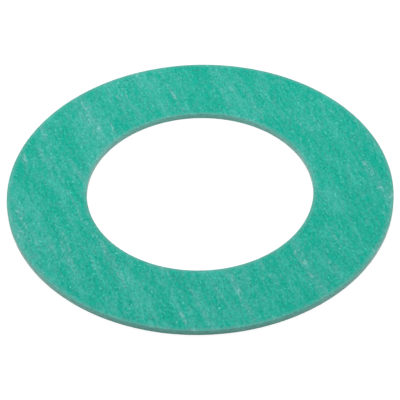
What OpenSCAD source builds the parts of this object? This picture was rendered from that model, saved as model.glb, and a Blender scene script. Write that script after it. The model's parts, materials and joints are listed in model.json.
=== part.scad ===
// Flat ring gasket for a pipe flange, of the inside-bolt-circle kind: a plain ring with
// no bolt holes, which the flange bolts surround and centre. It is one piece, die-cut
// from compressed fibre sheet.
// Millimetres. The ring lies flat on z = 0 with its axis on Z and its die side up.

/* [Ring] */
// Outer diameter: the flange's bolt circle, 120, less one bolt, 16
outer_d = 104; // [80:0.5:160]
// Bore diameter: the outside of the pipe, 60.3, and a little room
bore_d = 61; // [20:0.5:75]

/* [Sheet] */
// Thickness of the fibre sheet
sheet_t = 1.5; // [0.8:0.1:3]

/* [Cut edges] */
// Radius to which the die draws down the upper edge of the rim and of the bore
roll_r = 0.2; // [0.05:0.05:0.3]

/* [Hidden] */
$fn = 128;
sheet_green = [0.22, 0.69, 0.62];
outer_r = outer_d / 2;
bore_r = bore_d / 2;
// Radial width of the sealing land between the bore and the rim
land_w = outer_r - bore_r;
// The rolled edges never meet across the sheet or the land
edge_r = min(roll_r, sheet_t / 2, land_w / 3);
// Height of the straight cut wall below the rolled edges
wall_h = sheet_t - edge_r;

// Section of the land: X is the distance from the axis and Y is the height
module land_section() {
    translate([bore_r, 0]) square([land_w, wall_h]);
    translate([bore_r + edge_r, 0]) square([land_w - 2 * edge_r, sheet_t]);
    for (edge_x = [bore_r + edge_r, outer_r - edge_r])
        translate([edge_x, wall_h]) circle(r = edge_r);
}

module gasket_ring() {
    color(sheet_green) rotate_extrude() land_section();
}

gasket_ring();
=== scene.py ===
# %% [markdown]
# # A flat ring gasket
#
# This lesson dresses one flat ring gasket, the kind that lies inside the bolts of a pipe
# flange. It is die-cut from compressed fibre sheet: short fibres, filler and a rubber
# binder, rolled hard together and dyed green. We take the ring's sizes from the frame,
# build a finer ring over it, give that ring the look of the sheet and of its cut edge,
# and light it on a white table.

# %% Load the frame
import json
import math

import bpy
import numpy as np
from mathutils import Matrix, Vector, noise


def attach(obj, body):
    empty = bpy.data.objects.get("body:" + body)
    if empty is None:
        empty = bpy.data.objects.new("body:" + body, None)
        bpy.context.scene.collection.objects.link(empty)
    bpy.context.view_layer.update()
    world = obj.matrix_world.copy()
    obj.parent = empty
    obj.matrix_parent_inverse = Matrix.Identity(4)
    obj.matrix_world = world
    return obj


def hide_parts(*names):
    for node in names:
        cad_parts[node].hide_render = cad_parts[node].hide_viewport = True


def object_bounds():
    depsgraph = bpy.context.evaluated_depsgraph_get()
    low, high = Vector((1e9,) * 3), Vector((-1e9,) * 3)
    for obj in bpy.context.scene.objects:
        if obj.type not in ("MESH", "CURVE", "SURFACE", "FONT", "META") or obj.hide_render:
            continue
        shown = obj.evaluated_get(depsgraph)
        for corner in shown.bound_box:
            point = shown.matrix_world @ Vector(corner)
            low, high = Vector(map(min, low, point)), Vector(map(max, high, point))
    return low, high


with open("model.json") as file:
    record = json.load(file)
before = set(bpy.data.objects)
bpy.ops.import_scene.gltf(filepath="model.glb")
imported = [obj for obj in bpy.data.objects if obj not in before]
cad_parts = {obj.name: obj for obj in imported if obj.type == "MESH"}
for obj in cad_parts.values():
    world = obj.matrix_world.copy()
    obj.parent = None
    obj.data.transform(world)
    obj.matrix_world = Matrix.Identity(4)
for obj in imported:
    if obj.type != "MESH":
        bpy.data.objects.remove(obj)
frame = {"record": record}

cad_low, cad_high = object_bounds()
print("frame box in mm:", [round(1000 * side, 2) for side in cad_high - cad_low])

# %% [markdown]
# ## The sizes of the ring
#
# The packed record says where the ring meets its neighbours: the rim that the bolts stand
# round, and the bore. Reading the sizes there, instead of typing them again, keeps the
# ring right if the model ever changes. The straight walls are a little shorter than the
# sheet is thick, and the rest is the roll that the cutting die left on the upper edges.

# %% Read the ring's sizes
MM = 0.001
mounts = {mount["name"]: mount["dims"] for mount in frame["record"]["mounts"]}
rim_r = mounts["rim"]["r_mm"] * MM
bore_r = mounts["bore"]["r_mm"] * MM
sheet_t = cad_high.z - cad_low.z
wall_h = mounts["rim"]["length_mm"] * MM
roll_r = sheet_t - wall_h
print(f"radii in mm: rim {rim_r / MM:.2f}, bore {bore_r / MM:.2f}, rolled edge {roll_r / MM:.2f}")
print(f"sheet in mm: {sheet_t / MM:.2f}, with walls of {wall_h / MM:.2f}")

# %% [markdown]
# ## The section of the ring
#
# Cut through one side of the ring, and you see its section: a long, low box with its two
# upper corners rolled over. We walk round it once as a closed loop of points. The loop
# starts at the bore's lower edge and runs out under the ring, up the rim, over the rolled
# edge, back across the face and down the bore. The walls get more points than they need
# to be straight, because they are roughened later.

# %% Lay out the section
UNDER_STEPS, WALL_STEPS, ROLL_STEPS, FACE_STEPS = 8, 10, 5, 16


def line(start, end, steps):
    """Points from start up to, but not including, end."""
    return [np.array(start) + (np.array(end) - start) * i / steps for i in range(steps)]


def roll(centre, first_angle, last_angle):
    """Points round a rolled edge, without the last one."""
    turns = np.radians(np.linspace(first_angle, last_angle, ROLL_STEPS, endpoint=False))
    return [np.array(centre) + roll_r * np.array([math.cos(a), math.sin(a)]) for a in turns]


section = np.array(
    line((bore_r, 0), (rim_r, 0), UNDER_STEPS)
    + line((rim_r, 0), (rim_r, wall_h), WALL_STEPS)
    + roll((rim_r - roll_r, wall_h), 0, 90)
    + line((rim_r - roll_r, sheet_t), (bore_r + roll_r, sheet_t), FACE_STEPS)
    + roll((bore_r + roll_r, wall_h), 90, 180)
    + line((bore_r, wall_h), (bore_r, 0), WALL_STEPS)
)
radius, height = section[:, 0], section[:, 1]
print("points round the section:", len(section))

# %% [markdown]
# ## Carry the section round
#
# A ring is one section carried round an axis. Blender's Screw modifier could do that, but
# we want to disturb the wall point by point afterwards. So the points are kept as a grid:
# every row is the same section, at another angle.

# %% Sweep the section
TURN_STEPS = 1440
angles = np.arange(TURN_STEPS) * 2 * math.pi / TURN_STEPS


def carried_round(radii, heights):
    """The section at every angle: a grid of points, with a row for each angle."""
    right = np.cos(angles)[:, None] * radii
    back = np.sin(angles)[:, None] * radii
    return np.stack([right, back, np.broadcast_to(heights, right.shape)], -1)


clean_ring = carried_round(radius, height)
print("rows and points in a row:", clean_ring.shape[:2])

# %% [markdown]
# ## The marks of the die
#
# Compressed fibre is not cut clean like metal. The die pushes a smooth band into the top
# of the wall, and below that the sheet tears: the lower wall is rough, and its lowest
# edge a little ragged. The faces are flat, but not glass: the rolls that pressed the
# sheet leave a very low swell. Both are moves of a few hundredths of a millimetre, made
# with Blender's own noise so that every run gives the same ring. All of them go into the
# ring, so it keeps its size.

# %% Tear the walls and swell the face
TEAR_SIZE, TEAR_DEPTH = 0.55 * MM, 0.05 * MM
NIBBLE_SIZE, NIBBLE_DEPTH = 2.5 * MM, 0.04 * MM
SWELL_SIZE, SWELL_HEIGHT = 9 * MM, 0.012 * MM
CLEAN_SHARE = 0.15
SWELL_FADE = 4 * roll_r


def noise_at(places, size):
    """Blender's noise at each place, for marks of about this size, from about -1 to 1."""
    values = [noise.noise(Vector(place / size)) for place in places.reshape(-1, 3)]
    return np.array(values).reshape(places.shape[:2])


on_wall = (height < wall_h) & ((radius == rim_r) | (radius == bore_r))
torn = on_wall * np.clip(1 + CLEAN_SHARE - height / wall_h, 0, 1)
tears = TEAR_DEPTH * np.abs(noise_at(clean_ring, TEAR_SIZE))
nibbles = NIBBLE_DEPTH * np.abs(noise_at(clean_ring, NIBBLE_SIZE))
bite = torn * (tears + nibbles)
into_ring = np.where(radius > (rim_r + bore_r) / 2, -1, 1)

from_edge = np.minimum(rim_r - radius, radius - bore_r)
on_face = (height > wall_h) * np.clip(from_edge / SWELL_FADE, 0, 1)
swell = on_face * SWELL_HEIGHT * (1 + noise_at(clean_ring, SWELL_SIZE)) / 2
points = carried_round(radius + into_ring * bite, height - swell)
print("deepest bite in mm:", round(float(bite.max()) / MM, 3))
print("deepest swell in mm:", round(float(swell.max()) / MM, 3))

# %% [markdown]
# ## The mesh
#
# Neighbouring rows of points are joined by four-cornered faces. The last row joins the
# first and the last point of a row joins its first, so the skin closes on itself with no
# seam. Smooth shading makes the rolled edges look round. Left to itself it would also
# round off the two lower edges, where the cut meets the under side, so the edges that
# turn by more than 60 degrees are marked sharp.

# %% Build the mesh
SHARP_ANGLE = math.radians(60)

rows, spots = np.meshgrid(np.arange(TURN_STEPS), np.arange(len(section)), indexing="ij")
next_rows = (rows + 1) % TURN_STEPS
next_spots = (spots + 1) % len(section)
corner_rows = np.stack([rows, next_rows, next_rows, rows], -1).reshape(-1, 4)
corner_spots = np.stack([spots, spots, next_spots, next_spots], -1).reshape(-1, 4)
faces = corner_rows * len(section) + corner_spots

ring_mesh = bpy.data.meshes.new("gasket_ring_skin")
ring_mesh.from_pydata(points.reshape(-1, 3).tolist(), [], faces.tolist())
ring_mesh.shade_smooth()
ring_mesh.set_sharp_from_angle(angle=SHARP_ANGLE)
ring = bpy.data.objects.new("fibre_ring", ring_mesh)
bpy.context.scene.collection.objects.link(ring)
print("ring:", len(ring_mesh.vertices), "points,", len(ring_mesh.polygons), "faces")
sharp_edges = sum(edge.use_edge_sharp for edge in ring_mesh.edges)
print("sharp edges:", sharp_edges, "which is", sharp_edges // TURN_STEPS, "full rings of them")

# %% [markdown]
# ## A flat map of the skin
#
# A model that leaves Blender carries its colours as a picture, and a map says where each
# face lies in it. Blender could unwrap the ring by itself, but a ring unrolls more neatly
# by rule. The skin is slit along the bore's lower edge and cut in two half turns, and the
# two strips lie one above the other in the square. The walls are drawn wider than they
# are, because their detail is finer than that of the faces.

# %% Lay the skin out flat
WALL_STRETCH, MAP_MARGIN = 2.5, 0.006
steps = np.linalg.norm(np.roll(section, -1, 0) - section, axis=1)
steepness = np.abs(np.roll(height, -1) - height) / steps
drawn_steps = steps * (1 + (WALL_STRETCH - 1) * steepness)
drawn = np.concatenate([[0], np.cumsum(drawn_steps)]) / drawn_steps.sum()

half_turn = TURN_STEPS // 2
half, row_in_half = np.divmod(rows.reshape(-1, 1), half_turn)
along = (row_in_half + np.array([0, 1, 1, 0])) / half_turn
across = drawn[spots.reshape(-1, 1) + np.array([0, 0, 1, 1])]
map_u = MAP_MARGIN + (1 - 2 * MAP_MARGIN) * along
map_v = (half + MAP_MARGIN + (1 - 2 * MAP_MARGIN) * across) / 2
skin_map = ring_mesh.uv_layers.new(name="OFBake")
skin_map.uv.foreach_set("vector", np.stack([map_u, map_v], -1).reshape(-1))
print(f"skin round the section: {steps.sum() / MM:.1f} mm, drawn as {drawn_steps.sum() / MM:.1f}")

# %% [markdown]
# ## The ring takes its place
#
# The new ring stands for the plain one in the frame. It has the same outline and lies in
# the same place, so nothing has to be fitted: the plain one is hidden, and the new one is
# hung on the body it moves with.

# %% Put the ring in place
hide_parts("gasket_ring")
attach(ring, "root")
print("fibre_ring replaces gasket_ring and rides on root")

# %% [markdown]
# ## A small tool for shader sums
#
# A procedural finish is mostly arithmetic on textures. Wiring Math nodes by hand hides
# the sums, so this class wraps a socket and lets Python's own operators add the nodes.
# Everything that is not plain arithmetic comes from its one method for adding a node.


# %% Define the shader wire
class Wire:
    """An output socket of a shader tree. Sums of wires and numbers add Math nodes."""

    def __init__(self, tree, socket=None):
        self.tree, self.socket = tree, socket

    def node(self, kind, settings=None, sockets=None, output=0):
        """Adds a node, with its settings set before its sockets, and gives a wire from it."""
        made = self.tree.nodes.new(kind)
        for name, value in (settings or {}).items():
            setattr(made, name, value)
        for name, value in (sockets or {}).items():
            if isinstance(value, Wire):
                self.tree.links.new(value.socket, made.inputs[name])
            else:
                made.inputs[name].default_value = value
        return Wire(self.tree, made.outputs[output] if made.outputs else None)

    def maths(self, operation, *values):
        return self.node("ShaderNodeMath", {"operation": operation}, dict(enumerate(values)))

    def __add__(self, other):
        return self.maths("ADD", self, other)

    def __sub__(self, other):
        return self.maths("SUBTRACT", self, other)

    def __rsub__(self, other):
        return self.maths("SUBTRACT", other, self)

    def __mul__(self, other):
        return self.maths("MULTIPLY", self, other)

    def __abs__(self):
        return self.maths("ABSOLUTE", self)

    __radd__, __rmul__ = __add__, __mul__


reversed_sums = [name for name in vars(Wire) if name.startswith("__r")]
print("sums that may start with a number, such as 1 - mask:", reversed_sums)

# %% [markdown]
# ## Four words for masks and colours
#
# Most finishes need only a few more words. A soft step turns a noise into patches with
# blurred edges. A tint lays one colour over another by a share that a mask gives: it is a
# Mix node, because a Math node would turn a colour grey. The smaller or larger of two
# wires joins two masks. A last helper empties a shader tree, so that we start from nothing.


# %% Define the steps and tints
def step(wire, low, high):
    """A soft step: 0 where the wire is below low, 1 above high."""
    sockets = {"Value": wire, "From Min": low, "From Max": high}
    return wire.node("ShaderNodeMapRange", {"interpolation_type": "SMOOTHSTEP"}, sockets)


def tint(share, colour, other):
    """colour where share is 0, and other where share is 1."""
    sockets = {0: share, 6: colour, 7: other}
    return share.node("ShaderNodeMix", {"data_type": "RGBA"}, sockets, output=2)


def smaller(one, other):
    return one.maths("MINIMUM", one, other)


def larger(one, other):
    return one.maths("MAXIMUM", one, other)


def fresh_tree(owner):
    """Empties the shader tree of a material or a world, and gives a wire to start from."""
    owner.use_nodes = True
    owner.node_tree.nodes.clear()
    return Wire(owner.node_tree)


print("words for masks and colours:", [word.__name__ for word in (step, tint, smaller, larger)])

# %% [markdown]
# ## The fibre sheet: where the textures lie
#
# The rolls that press the sheet comb its fibres one way, so everything on the face is
# longer along the grain than across it. A Mapping node of the Texture kind lays a texture
# out at a size and an angle, so each texture here takes the length and the width of its
# marks, which can be read off the real sheet with a ruler. The noise itself is round: it
# is the mapping that draws it out into streaks. Long streaks follow the rolls closely,
# and short fibres lie a few degrees off them. A noise has no end, so each texture also
# takes a shift, which says which stretch of the noise lies on the ring. No two textures
# share one. For the broad ones it was picked by trial, so that their pale patches fall
# about where the real sheet has them.

# %% Set up the grain of the sheet
LONG_GRAIN, SHORT_GRAIN = math.radians(-69), math.radians(-77)

sheet_finish = bpy.data.materials.new("compressed_fibre")
sheet = fresh_tree(sheet_finish)
place = sheet.node("ShaderNodeTexCoord", output="Object")


def marks(length, width, shift, angle=SHORT_GRAIN, depth=None, detail=1.0, wander=0.4):
    """Noise about 0, whose marks are this long, wide and deep in mm.

    detail adds finer marks to them, and wander bends them.
    """
    layout = {
        "Vector": place,
        "Location": (shift, shift, shift),
        "Rotation": (0, 0, angle),
        "Scale": (length * MM, width * MM, (depth or width) * MM),
    }
    laid_out = sheet.node("ShaderNodeMapping", {"vector_type": "TEXTURE"}, layout)
    sockets = {"Vector": laid_out, "Scale": 1.0, "Detail": detail, "Distortion": wander}
    return sheet.node("ShaderNodeTexNoise", sockets=sockets) - 0.5


grains_in_degrees = [round(math.degrees(angle)) for angle in (LONG_GRAIN, SHORT_GRAIN)]
print("long and short grain of the sheet, in degrees:", grains_in_degrees)

# %% [markdown]
# ## The fibre sheet: greens
#
# From a step away the sheet is one green. Close to, it is mottled: dye and filler gather
# in clouds, in long thin streaks, in short strokes and in tufts. Their sum says how pale
# the sheet is at each spot, between a deep green and a pale one. On top of that, the face
# turns steadily a little paler towards negative x.

# %% Mix the greens of the face
DEEP_GREEN, PALE_GREEN = (0.002, 0.397, 0.290, 1), (0.086, 0.516, 0.433, 1)
PALE_SHARE, PALER_PER_METRE = 0.16, -1.0

clouds = marks(15, 4.5, shift=4.7914, angle=LONG_GRAIN, wander=0.3)
streaks = marks(15, 1.8, shift=4.6445, angle=LONG_GRAIN, wander=0.3)
strokes = marks(2.6, 1.05, shift=0.23, wander=0.5)
tufts = marks(1.1, 0.65, shift=0.19, detail=4.0, wander=0.5)
mottle = 0.9 * clouds + 0.76 * streaks + 1.05 * strokes + 0.2 * tufts
sideways = sheet.node("ShaderNodeSeparateXYZ", sockets={"Vector": place}, output="X")
face_green = tint(PALE_SHARE + mottle + PALER_PER_METRE * sideways, DEEP_GREEN, PALE_GREEN)
print("greens mixed from", DEEP_GREEN[:3], "and", PALE_GREEN[:3])

# %% [markdown]
# ## The fibre sheet: bare fibres
#
# Not every fibre takes the dye. Some show through as a greyish veil, and bundles of bare
# fibre lie on the surface as pale flecks. The rolls drag those bundles apart, so most of
# them lie in long straight trails. A trail is one stretched noise, a bundle is another,
# and multiplying the two leaves the bundles that lie in a trail.

# %% Add the bare fibres
GREY_FIBRE, BARE_FIBRE = (0.25, 0.27, 0.38, 1), (0.36, 0.62, 0.64, 1)
TRAIL_LENGTH, TRAIL_WIDTH = 24, 2.2

trail_noise = marks(TRAIL_LENGTH, TRAIL_WIDTH, shift=4.1496, angle=LONG_GRAIN, detail=0.5, wander=0.3)
trails = step(trail_noise, 0.06, 0.235)
bundles = step(marks(2.0, 1.1, shift=0.37, detail=2.5), 0.0, 0.24)
undyed = step(marks(3.6, 1.2, shift=0.41), -0.04, 0.24)
veil = 0.08 * undyed + 0.05 * trails
flecks = (0.05 + 0.39 * trails) * bundles + 0.045 * trails
veiled_green = tint(veil, face_green, GREY_FIBRE)
flecked_green = tint(flecks, veiled_green, BARE_FIBRE)
print(f"trails of bare fibre, up to {TRAIL_LENGTH} mm long and {TRAIL_WIDTH} mm wide")

# %% [markdown]
# ## The fibre sheet: single fibres
#
# Here and there one fibre lies bare on the surface, as thin as a hair. A thin line is hard
# to get from a noise by its height, but easy by its zero: where a stretched noise changes
# sign, it does so along a thin, wandering line. A second noise breaks the line up into
# short pieces. Most of them are combed along the grain, and a few have strayed across it.

# %% Draw the single fibres
HAIR_CORE, HAIR_EDGE = 0.004, 0.022
PIECE_LENGTH, PIECE_WIDTH = 1.6, 1.2
STRAY_ANGLE = SHORT_GRAIN + math.radians(38)
HAIR_SHARE = 0.13


def hairs(length, width, shift, angle):
    """Hair-fine broken lines: where a stretched noise crosses zero, and another is high."""
    crossing = marks(length, width, shift, angle, detail=0.0, wander=0.5)
    hair = 1 - step(abs(crossing), HAIR_CORE, HAIR_EDGE)
    pieces = step(marks(PIECE_LENGTH, PIECE_WIDTH, shift + 0.05, angle, detail=0.0), 0.02, 0.14)
    return hair * pieces


combed = hairs(3.5, 0.8, shift=0.67, angle=SHORT_GRAIN)
stray = hairs(2.6, 0.9, shift=0.71, angle=STRAY_ANGLE)
threads = larger(combed, stray)
threaded_green = tint(HAIR_SHARE * threads, flecked_green, BARE_FIBRE)
print("stray fibres lie at", round(math.degrees(STRAY_ANGLE)), "degrees")

# %% [markdown]
# ## The fibre sheet: pits and grains
#
# Filler fills the gaps between the fibres. Some of its grains stand out pale, and others
# have dropped out and left a pit, so the surface looks dry and speckled. The pale grains
# are one more tint. The pits are painted darker, as the shade that falls in them, and grit
# and tufts make the sheet darker or lighter in small spots: partly its own tone, partly
# painted shade of its fine relief. None of this changes the hue, so for them one number is
# worked out, and the colour is multiplied by it.

# %% Speckle the face
PALE_GRAIN, GRAIN_SHARE = (0.19, 0.78, 0.64, 1), 0.5

grains = step(marks(0.9, 0.62, shift=0.97, detail=2.0, wander=0.6), 0.15, 0.22)
shaded_pits = step(marks(1.2, 0.65, shift=0.91, detail=3.0, wander=0.5), 0.1, 0.24)
grit = marks(0.85, 0.55, shift=0.53, detail=4.0, wander=0.0)
grained_green = tint(GRAIN_SHARE * grains, threaded_green, PALE_GRAIN)
# Painted shade: the pits darken the colour; grit and tufts give tone and the shade of fine relief.
tone_and_shade = 1 + 0.38 * tufts + 1.05 * grit - 0.26 * shaded_pits
speckle = {0: grained_green, "Scale": tone_and_shade}
face_colour = sheet.node("ShaderNodeVectorMath", {"operation": "SCALE"}, speckle)
print("nodes in the face so far:", len(sheet_finish.node_tree.nodes))

# %% [markdown]
# ## The fibre sheet: worn edges
#
# Where the die rolled the upper edge over, the dyed skin is drawn thin and rubs away
# first, so the face turns greyer and paler close to its edges. A Bevel node could find
# the edges, but a ring needs no search: how far a spot is from the nearer edge follows
# from its distance to the axis. The tufts make the band ragged.

# %% Wear the edges of the face
WORN_GREY, WORN_SHARE = (0.36, 0.45, 0.47, 1), 0.23
WORN_WIDTH, WORN_RAGGED = 1.45 * MM, 1.5 * MM

level = sheet.node("ShaderNodeVectorMath", {"operation": "MULTIPLY"}, {0: place, 1: (1, 1, 0)})
from_axis = sheet.node("ShaderNodeVectorMath", {"operation": "LENGTH"}, {0: level}, output="Value")
to_edge = smaller(rim_r - from_axis, from_axis - bore_r)
worn = 1 - step(to_edge + WORN_RAGGED * tufts, 0.0, WORN_WIDTH)
worn_face = tint(WORN_SHARE * worn, face_colour, WORN_GREY)
print(f"worn band at each edge: {WORN_WIDTH / MM:.2f} mm")

# %% [markdown]
# ## The fibre sheet: the cut edge
#
# The die opens the sheet, and the cut shows its inside: greyer and duller than the dyed
# face, with the layers of fibre lying flat, and nicks where a bundle was pulled out. The
# nicks are only a bump, and their darkness is painted shade, as it would fall in them.
# A second material on the wall's faces would end in a hard line. The surface's own normal
# tells face from cut, and lets one run into the other over the rolled edge.

# %% Mix the colour of the cut edge
CUT_DULL, CUT_PALE = (0.09, 0.42, 0.355, 1), (0.23, 0.63, 0.545, 1)
# The colour of the nicks is painted shade.
NICK_SHADE, NICK_SHADE_SHARE = (0.06, 0.24, 0.20, 1), 0.6
FACE_ENDS, CUT_STARTS = math.radians(37), math.radians(73)

facing = sheet.node("ShaderNodeTexCoord", output="Normal")
upward = sheet.node("ShaderNodeSeparateXYZ", sockets={"Vector": facing}, output="Z")
cut = 1 - step(abs(upward), math.cos(CUT_STARTS), math.cos(FACE_ENDS))
layers = marks(2.2, 2.2, shift=0.79, depth=0.22, detail=5.0)
shaded_nicks = step(marks(1.4, 1.4, shift=0.61, depth=0.35), 0.1, 0.3)
torn_colour = tint(0.5 + 1.8 * layers + 0.9 * tufts, CUT_DULL, CUT_PALE)
# Painted shade: the nicks are darkened as if shade fell in them.
cut_colour = tint(NICK_SHADE_SHARE * shaded_nicks, torn_colour, NICK_SHADE)
sheet_colour = tint(cut, worn_face, cut_colour)
lean = [round(math.degrees(angle)) for angle in (FACE_ENDS, CUT_STARTS)]
print("face runs into cut between these leans, in degrees:", lean)

# %% [markdown]
# ## The fibre sheet: gloss, fuzz and relief
#
# The pressed face has a dull gloss, and the torn cut even less of it. The cut has a fuzz of
# fibre ends instead, which looks the paler the more it is seen at a slant: the shader's
# Sheen is made for that. Fibres stand a few hundredths of a millimetre proud of the binder:
# far too fine for the mesh, so a Bump node tilts the light there instead.

# %% Finish the sheet
ROUGH_FACE, ROUGHER_CUT = 0.62, 0.2
DULL_GLOSS, CUT_FUZZ = 0.12, 0.6
RELIEF_STRENGTH, RELIEF_HEIGHT = 0.4, 0.06 * MM

face_relief = 0.6 * tufts + 0.5 * grit + 0.25 * threads - 0.3 * shaded_pits
relief = face_relief + cut * (6.0 * layers - 1.2 * shaded_nicks)
bump_sockets = {"Strength": RELIEF_STRENGTH, "Distance": RELIEF_HEIGHT, "Height": relief}
bump = sheet.node("ShaderNodeBump", sockets=bump_sockets)
surface_sockets = {
    "Base Color": sheet_colour,
    "Roughness": ROUGH_FACE + 0.1 * grit + ROUGHER_CUT * cut,
    "Specular IOR Level": DULL_GLOSS,
    "Sheen Weight": CUT_FUZZ * cut,
    "Normal": bump,
}
surface = sheet.node("ShaderNodeBsdfPrincipled", sockets=surface_sockets)
sheet.node("ShaderNodeOutputMaterial", sockets={"Surface": surface})
ring_mesh.materials.append(sheet_finish)
print("nodes in the fibre finish:", len(sheet_finish.node_tree.nodes))

# %% [markdown]
# ## A white table
#
# The ring lies on a plain table, wide enough to reach past every view. It is one square
# face, a hundredth of a millimetre below the ring, so that the two never flicker into
# each other.

# %% Lay the table
TABLE_HALF, TABLE_GAP = 3.0, 0.01 * MM

square = [(-1, -1), (1, -1), (1, 1), (-1, 1)]
table_points = [(x * TABLE_HALF, y * TABLE_HALF, -TABLE_GAP) for x, y in square]
table_mesh = bpy.data.meshes.new("white_table")
table_mesh.from_pydata(table_points, [], [(0, 1, 2, 3)])
table = bpy.data.objects.new("white_table", table_mesh)
bpy.context.scene.collection.objects.link(table)
print("table width in m:", 2 * TABLE_HALF)

# %% [markdown]
# ## White to the eye only
#
# A table bright enough to look white would throw too much light up at the ring. So its
# own colour is a plain pale grey, and only what the camera sees of it is lifted to white.
# Part of what the camera sees is still the lit table, which keeps the ring's shadow. Far
# from the ring it fades into the white background.

# %% Finish the table
TABLE_GREY, SHOWN_GREY, TABLE_LIFT = 0.8, 0.2, 0.86
FADE_FROM, FADE_TO = 2 * rim_r, 6 * rim_r
WHITE = (1, 1, 1, 1)


def seen(tree):
    """1 for rays that show a thing: straight to the camera, in a mirror or through glass."""
    kinds = ("Camera", "Glossy", "Transmission")
    camera_ray, mirror_ray, glass_ray = [
        tree.node("ShaderNodeLightPath", output=f"Is {kind} Ray") for kind in kinds
    ]
    return larger(camera_ray, larger(mirror_ray, glass_ray))


table_finish = bpy.data.materials.new("white_table")
top = fresh_tree(table_finish)


def matt(grey):
    """A matt grey surface of the table."""
    return top.node("ShaderNodeBsdfDiffuse", sockets={"Color": (grey, grey, grey, 1)})


def glow(strength):
    """A white glow of the table, where a strength of 1 is white."""
    return top.node("ShaderNodeEmission", sockets={"Color": WHITE, "Strength": strength})


near = top.node("ShaderNodeAddShader", sockets={0: matt(SHOWN_GREY), 1: glow(TABLE_LIFT)})
table_place = top.node("ShaderNodeTexCoord", output="Object")
reach = top.node("ShaderNodeVectorMath", {"operation": "LENGTH"}, {0: table_place}, output="Value")
faded_share = step(reach, FADE_FROM, FADE_TO)
faded = top.node("ShaderNodeMixShader", sockets={0: faded_share, 1: near, 2: glow(1.0)})
shown = top.node("ShaderNodeMixShader", sockets={0: seen(top), 1: matt(TABLE_GREY), 2: faded})
top.node("ShaderNodeOutputMaterial", sockets={"Surface": shown})
table_mesh.materials.append(table_finish)
print(f"the table fades to white from {FADE_FROM:.2f} to {FADE_TO:.2f} m")

# %% [markdown]
# ## A white room
#
# Two plain sources light the ring: a white room, which lights everything evenly, and one
# softbox. The room gives about a quarter of the light. To the camera it is white, like
# the table.

# %% Light the room
ROOM_SHARE = 0.24

world = bpy.data.worlds.new("white_room")
bpy.context.scene.world = world
air = fresh_tree(world)
room = air.node("ShaderNodeBackground", sockets={"Color": WHITE, "Strength": ROOM_SHARE})
backdrop = air.node("ShaderNodeBackground", sockets={"Color": WHITE, "Strength": 1.0})
both = air.node("ShaderNodeMixShader", sockets={0: seen(air), 1: room, 2: backdrop})
air.node("ShaderNodeOutputWorld", sockets={"Surface": both})
print("share of the light from the room:", ROOM_SHARE)

# %% [markdown]
# ## The softbox
#
# The softbox hangs above the ring and a little behind it, so the far side of the face is
# a touch brighter than the near side. It is wide and close, which keeps the shadow soft.
# Room and softbox together light a level white card to just about white, so that a colour
# renders as it is written. The law for a small patch of light doesn't hold for one this
# large, so we cut it into patches, and sum what each gives to a card at the origin. The
# lamp spreads its power over a half space, and the matt card spreads what it gets once
# more: each of the two brings a factor of pi.

# %% Hang the softbox
SOFTBOX_PLACE, SOFTBOX_WIDTH, SOFTBOX_DEPTH = Vector((0, 0.1, 0.32)), 1.7, 0.4
PATCHES = 40

spread = (np.arange(PATCHES) + 0.5) / PATCHES - 0.5
patch_x = SOFTBOX_PLACE.x + spread[:, None] * SOFTBOX_WIDTH
patch_y = SOFTBOX_PLACE.y + spread * SOFTBOX_DEPTH
distance_squared = patch_x**2 + patch_y**2 + SOFTBOX_PLACE.z**2
card_share = float((SOFTBOX_PLACE.z**2 / distance_squared**2).mean())

lamp = bpy.data.lights.new("softbox", "AREA")
lamp.shape, lamp.size, lamp.size_y = "RECTANGLE", SOFTBOX_WIDTH, SOFTBOX_DEPTH
lamp.energy = (1 - ROOM_SHARE) * math.pi**2 / card_share
softbox = bpy.data.objects.new("softbox", lamp)
softbox.location = SOFTBOX_PLACE
softbox.visible_camera = False
bpy.context.scene.collection.objects.link(softbox)
print("softbox power in W:", round(lamp.energy, 3))

# %% [markdown]
# ## Camera
#
# The camera stands well back with a long lens, so the ring shows as an even ellipse, and
# looks down at about 43 degrees. It is turned by a degree about its own line of sight,
# because the picture it follows was not quite level.

# %% Place the camera
CAMERA_DISTANCE = 11.39 * rim_r
CAMERA_HEIGHT = math.radians(43.504)
CAMERA_ROLL = math.radians(-1.385)
CAMERA_AIM = Vector((-0.0012 * rim_r, -0.0504 * rim_r, 0))
CAMERA_LENS = 197.7
CAMERA_SENSOR = 36

lens = bpy.data.cameras.new("camera")
lens.lens, lens.sensor_width = CAMERA_LENS, CAMERA_SENSOR
camera = bpy.data.objects.new("camera", lens)
bpy.context.scene.collection.objects.link(camera)
bpy.context.scene.camera = camera
away_from_ring = Vector((0, -math.cos(CAMERA_HEIGHT), math.sin(CAMERA_HEIGHT)))
camera.location = CAMERA_DISTANCE * away_from_ring
sight = (CAMERA_AIM - camera.location).to_track_quat("-Z", "Y")
camera.rotation_euler = (sight.to_matrix() @ Matrix.Rotation(CAMERA_ROLL, 3, "Z")).to_euler()
print("camera at", [round(value, 3) for value in camera.location])

# %% [markdown]
# ## Colours as they are
#
# The colours are shown as they are, with no film look on top.

# %% Show the colours as they are
bpy.context.scene.view_settings.view_transform = "Standard"
